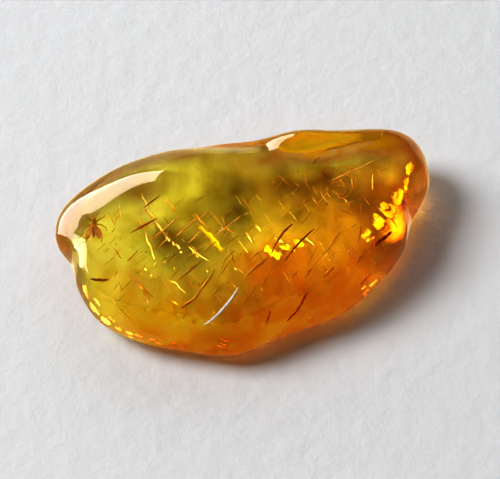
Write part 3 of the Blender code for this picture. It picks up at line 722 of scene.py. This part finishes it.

# Crack wall as thin gold leaf: a gold mirror for the total reflection off a crack in the resin, and
# painted shade in the higher tones, through tan to rust, for cracks turned from the light. Tan ones
# shine least, and the deepest yellow ones are a little rougher, so they glow over more of their width.
GOLD_ROUGHNESS, YELLOW_ROUGHNESS = 0.28, 0.38
MOTTLE_WAVES, MOTTLE_SHARE = 2600.0, 0.35  # waves to the metre, one each 0.4 mm
NEAR_TAN, FAR_FROM_TAN = 0.06, 0.14  # in tone
TAN_METALLIC = 0.25
crack_film = new_material("crack_film_gold")
tree = crack_film.node_tree
tone = node(tree, "ShaderNodeAttribute", {"attribute_name": "tone"})
place = node(tree, "ShaderNodeTexCoord")
mottle = node(tree, "ShaderNodeTexNoise", inputs={"Scale": MOTTLE_WAVES, "Detail": 2.0},
              links={"Vector": place.outputs["Object"]})
mixed = node(tree, "ShaderNodeMath", {"operation": "MULTIPLY_ADD"}, {1: MOTTLE_SHARE},
             links={0: mottle.outputs["Fac"], 2: tone.outputs["Fac"]})
# painted shade: the higher tones darken through tan to rust
gold = ramp(tree, mixed.outputs["Value"], (
    (0.04, linear("#ffd818")), (0.18, linear("#ffe68c")), (0.6, linear("#e8a04c")),
    (1.0, linear("#a04a1c"))))
from_tan = arithmetic(tree, "SUBTRACT", tone.outputs["Fac"], TAN)
metal = smooth_step(tree, arithmetic(tree, "ABSOLUTE", from_tan, 0.0), NEAR_TAN, FAR_FROM_TAN,
                    TAN_METALLIC, 1.0)
dull = smooth_step(tree, tone.outputs["Fac"], -0.10, 0.0, YELLOW_ROUGHNESS, GOLD_ROUGHNESS)
shell = node(tree, "ShaderNodeBsdfPrincipled",
             links={"Base Color": gold, "Metallic": metal, "Roughness": dull})
node(tree, "ShaderNodeOutputMaterial", links={"Surface": shell.outputs["BSDF"]})

bright_parts = [(film.reshape(-1, 3), blade_faces) for film in films]
bright_cracks = mesh_object("bright_cracks", bright_parts, crack_film, "tone",
                            np.repeat(tones, BLADE_STATIONS * BLADE_SIDES))
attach(bright_cracks, "root")


# ---------------------------------------------------------------- Scratch
# One curved scratch on the polished front slope, painted white for the highlight that its edge
# catches from the window. Its floor stands up as a hair of splintered resin that follows the surface.

SCRATCH_LINE = np.array((
    (-3.72, -10.84, 6.00), (-3.20, -10.72, 6.21), (-2.55, -10.32, 6.69), (-1.93, -9.85, 7.08),
    (-1.34, -9.28, 7.44), (-0.88, -8.64, 7.78), (-0.46, -8.01, 8.05),
))
SCRATCH_WIDTH, SCRATCH_SIDES, SCRATCH_STATIONS = 0.22, 8, 41
SCRATCH_FLATNESS = 0.4  # thickness over width
CURVE_DEGREE = 4
station = np.linspace(0.0, 1.0, SCRATCH_STATIONS)
given = np.linspace(0.0, 1.0, len(SCRATCH_LINE))
curves = [np.polyfit(given, axis, CURVE_DEGREE) for axis in SCRATCH_LINE.T]
fit = np.stack([np.polyval(curve, station) for curve in curves], axis=-1)
along = np.gradient(fit, axis=0)
along /= np.linalg.norm(along, axis=1)[:, None]
outwards = np.array((0.10, -0.62, 0.78))  # as the front slope faces there
level = np.cross(along, outwards)
level /= np.linalg.norm(level, axis=1)[:, None]
rise = np.cross(level, along)
swell = np.sqrt(np.clip(4 * station * (1 - station), 0.0, 1.0))[:, None, None]
turn = np.linspace(0.0, 2 * np.pi, SCRATCH_SIDES, endpoint=False)[:, None]
splinter = fit[:, None] + swell * SCRATCH_WIDTH / 2 * (
    np.cos(turn) * level[:, None] + SCRATCH_FLATNESS * np.sin(turn) * rise[:, None])

# Painted highlight: the scratch is coloured white and pale lilac, satin, for the window light that
# its edge mirrors. The speckle is drawn 0.3 mm coarse, so that it shows.
SPECKLE_WAVES = 3000.0
scratch_highlight = new_material("scratch_painted_highlight")
tree = scratch_highlight.node_tree
place = node(tree, "ShaderNodeTexCoord")
speckle = node(tree, "ShaderNodeTexNoise", inputs={"Scale": SPECKLE_WAVES, "Detail": 2.0},
            links={"Vector": place.outputs["Object"]})
pale = ramp(tree, speckle.outputs["Fac"], ((0.3, linear("#d8d4e0")), (0.7, linear("#ffffff"))))
shell = node(tree, "ShaderNodeBsdfPrincipled", inputs={"Roughness": 0.45}, links={"Base Color": pale})
node(tree, "ShaderNodeOutputMaterial", links={"Surface": shell.outputs["BSDF"]})
scratch_part = (splinter.reshape(-1, 3) * MM, closed_quads(SCRATCH_STATIONS, SCRATCH_SIDES)[:, ::-1])
scratch = mesh_object("scratch", [scratch_part], scratch_highlight, "along",
                      np.repeat(station, SCRATCH_SIDES))
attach(scratch, "root")


# ---------------------------------------------------------------- Gnat
# The insect that the resin trapped, in its pocket near the thin end: body, legs, antennae and
# wings in one. Dried chitin is brown and mottled, with a dull gloss and a fine grain.

CHITIN_WAVES = 1800.0  # mottling each half millimetre, about a joint's length
GRAIN_DEPTH = 0.03 * MM
chitin = new_material("chitin_brown")
tree = chitin.node_tree
place = node(tree, "ShaderNodeTexCoord")
mottle = node(tree, "ShaderNodeTexNoise", inputs={"Scale": CHITIN_WAVES, "Detail": 3.0},
              links={"Vector": place.outputs["Object"]})
brown = ramp(tree, mottle.outputs["Fac"], (
    (0.3, linear("#7a3c14")), (0.55, linear("#b46626")), (0.75, linear("#dc9c50"))))
grain = node(tree, "ShaderNodeBump", inputs={"Strength": 0.5, "Distance": GRAIN_DEPTH},
             links={"Height": mottle.outputs["Fac"]})
shell = node(tree, "ShaderNodeBsdfPrincipled", inputs={"Roughness": 0.42},
             links={"Base Color": brown, "Normal": grain.outputs["Normal"]})
node(tree, "ShaderNodeOutputMaterial", links={"Surface": shell.outputs["BSDF"]})
insect = bpy.data.objects["insect"]
insect.data.materials.clear()
insect.data.materials.append(chitin)


# ---------------------------------------------------------------- Floor
# A plain pale matt surface with a fine paper-like grain, a hair below the nugget. The polish
# doesn't mirror it: the two cards in the next section stand for it there.

FLOOR_HALF, FLOOR_HEIGHT = 1.5, -0.00001  # metres
# matted fibres: waves of 2.4 mm with seven finer orders on them, coarser than real paper's so
# that they show
FIBRE_WAVES = 420.0
TOOTH_DEPTH = 0.5 * MM
paper = new_material("floor_matt")
tree = paper.node_tree
place = node(tree, "ShaderNodeTexCoord")
fibre = node(tree, "ShaderNodeTexNoise", inputs={"Scale": FIBRE_WAVES, "Detail": 7.0, "Roughness": 0.6},
             links={"Vector": place.outputs["Object"]})
tooth = node(tree, "ShaderNodeBump", inputs={"Strength": 0.45, "Distance": TOOTH_DEPTH},
             links={"Height": fibre.outputs["Fac"]})
shell = node(tree, "ShaderNodeBsdfPrincipled",
             inputs={"Base Color": linear("#dadbdd"), "Roughness": 0.9},
             links={"Normal": tooth.outputs["Normal"]})
node(tree, "ShaderNodeOutputMaterial", links={"Surface": shell.outputs["BSDF"]})
floor_mesh = bpy.data.meshes.new("floor")
corners = [(x * FLOOR_HALF, y * FLOOR_HALF, FLOOR_HEIGHT)
           for x, y in ((-1, -1), (1, -1), (1, 1), (-1, 1))]
floor_mesh.from_pydata(corners, [], [(0, 1, 2, 3)])
floor_mesh.materials.append(paper)
floor = bpy.data.objects.new("floor", floor_mesh)
bpy.context.scene.collection.objects.link(floor)
floor.visible_glossy = False


# ---------------------------------------------------------------- Light
# A soft window to the left and behind, in a pale room. Its light is split by what it falls on:
# what the polish mirrors, what lights the floor, and what shines through the amber.


def soft_light(seen_by, name, azimuth, elevation, distance, width, height, radiance, colour, roll=0.0):
    """A rectangle of even radiance that faces the origin; its power is radiance, pi and area.

    It is seen by the polish, by the floor, or by the light inside the amber.
    """
    light = bpy.data.lights.new(name, "AREA")
    light.shape = "RECTANGLE"
    light.size, light.size_y = width, height
    light.energy = radiance * np.pi * width * height
    light.color = colour
    made = bpy.data.objects.new(name, light)
    turn, rise = np.radians(azimuth), np.radians(elevation)
    direction = (np.cos(turn) * np.cos(rise), np.sin(turn) * np.cos(rise), np.sin(rise))
    made.location = Vector(direction) * distance
    facing = (-made.location).to_track_quat("-Z", "Y")
    made.rotation_euler = (facing @ Quaternion((0.0, 0.0, 1.0), np.radians(roll))).to_euler()
    made.visible_glossy = seen_by == "polish"
    made.visible_diffuse = seen_by == "floor"
    made.visible_transmission = seen_by == "inside"
    bpy.context.scene.collection.objects.link(made)


# Seen by, name, bearing and elevation, distance, width and height in metres, radiance and colour.
# The window three times over: as a low strip in the polish, on the floor, and inside the amber.
soft_light("polish", "window_low", 139.4, 10.6, 0.40, 0.618, 0.282, 6.7, (1.0, 0.97, 1.0), roll=-30.0)
soft_light("floor", "window_high", 174, 48, 0.90, 0.40, 0.40, 13.2, (0.98, 0.985, 0.99))
soft_light("inside", "window_gathered", 160, 63, 0.60, 0.14, 0.14, 70.0, (1.0, 0.97, 0.85))
# the paper that the polish mirrors along the back and the left
soft_light("polish", "paper_behind", 95, -30, 0.12, 0.30, 0.13, 0.60, (1.0, 0.80, 0.40))
soft_light("polish", "paper_left", 172, -40, 0.12, 0.30, 0.16, 0.5, (1.0, 0.74, 0.34))
soft_light("floor", "fill_behind", 75, 40, 0.60, 0.70, 0.40, 0.7, (0.95, 0.97, 1.0))
# what the amber's edges gather from the room behind and in front, and from bright spots in it
soft_light("inside", "room_behind", 92, 28, 0.50, 0.75, 0.42, 0.55, (1.0, 0.88, 0.50))
soft_light("inside", "room_front", 255, 18, 0.50, 0.55, 0.26, 0.8, (1.0, 0.94, 0.65))
PANES = (
    (50, 20, 0.030), (58, 26, 0.024), (70, 24, 0.018), (80, 17, 0.012), (133, 36, 0.030),
    (126, 44, 0.020), (224, 20, 0.040),
)
for number, (azimuth, elevation, size) in enumerate(PANES):
    soft_light("inside", f"pane_{number}", azimuth, elevation, 0.50, size, size, 4.0, (1.0, 0.88, 0.45))
soft_light("inside", "window_front", 215, 50, 0.50, 0.12, 0.12, 18.0, (1.0, 0.95, 0.75))

world = bpy.data.worlds.new("studio")
world.use_nodes = True
backdrop = world.node_tree.nodes["Background"]
backdrop.inputs["Color"].default_value = (1.0, 0.95, 0.82, 1.0)
backdrop.inputs["Strength"].default_value = 0.10
bpy.context.scene.world = world


# ---------------------------------------------------------------- Camera
# Looks down at 55 degrees from the front, from a hand's length away, and takes in the nugget
# with a wide margin.

CAMERA_DISTANCE = 0.26
CAMERA_RISE = np.radians(55.0)
VIEW_WIDTH = 0.0475  # of what the frame takes in at the nugget
SENSOR_WIDTH = 36
AIM = Vector((0.58, -0.56, 5.0)) * MM
CLEAR_BOUNCES, GLOSSY_BOUNCES = 24, 16  # light crosses many walls of cracks on its way out
camera = bpy.data.objects.new("camera", bpy.data.cameras.new("camera"))
bpy.context.scene.collection.objects.link(camera)
bpy.context.scene.camera = camera
camera.data.sensor_width = SENSOR_WIDTH
camera.data.lens = SENSOR_WIDTH * CAMERA_DISTANCE / VIEW_WIDTH
camera.data.clip_start = 0.01
back_off = Vector((0.0, -np.cos(CAMERA_RISE), np.sin(CAMERA_RISE)))
camera.location = AIM + back_off * CAMERA_DISTANCE
camera.rotation_euler = (AIM - camera.location).to_track_quat("-Z", "Y").to_euler()

scene = bpy.context.scene
scene.view_settings.view_transform = "Standard"
scene.view_settings.look = "High Contrast"
scene.cycles.max_bounces = CLEAR_BOUNCES
scene.cycles.transmission_bounces = CLEAR_BOUNCES
scene.cycles.glossy_bounces = GLOSSY_BOUNCES
scene.cycles.transparent_max_bounces = CLEAR_BOUNCES
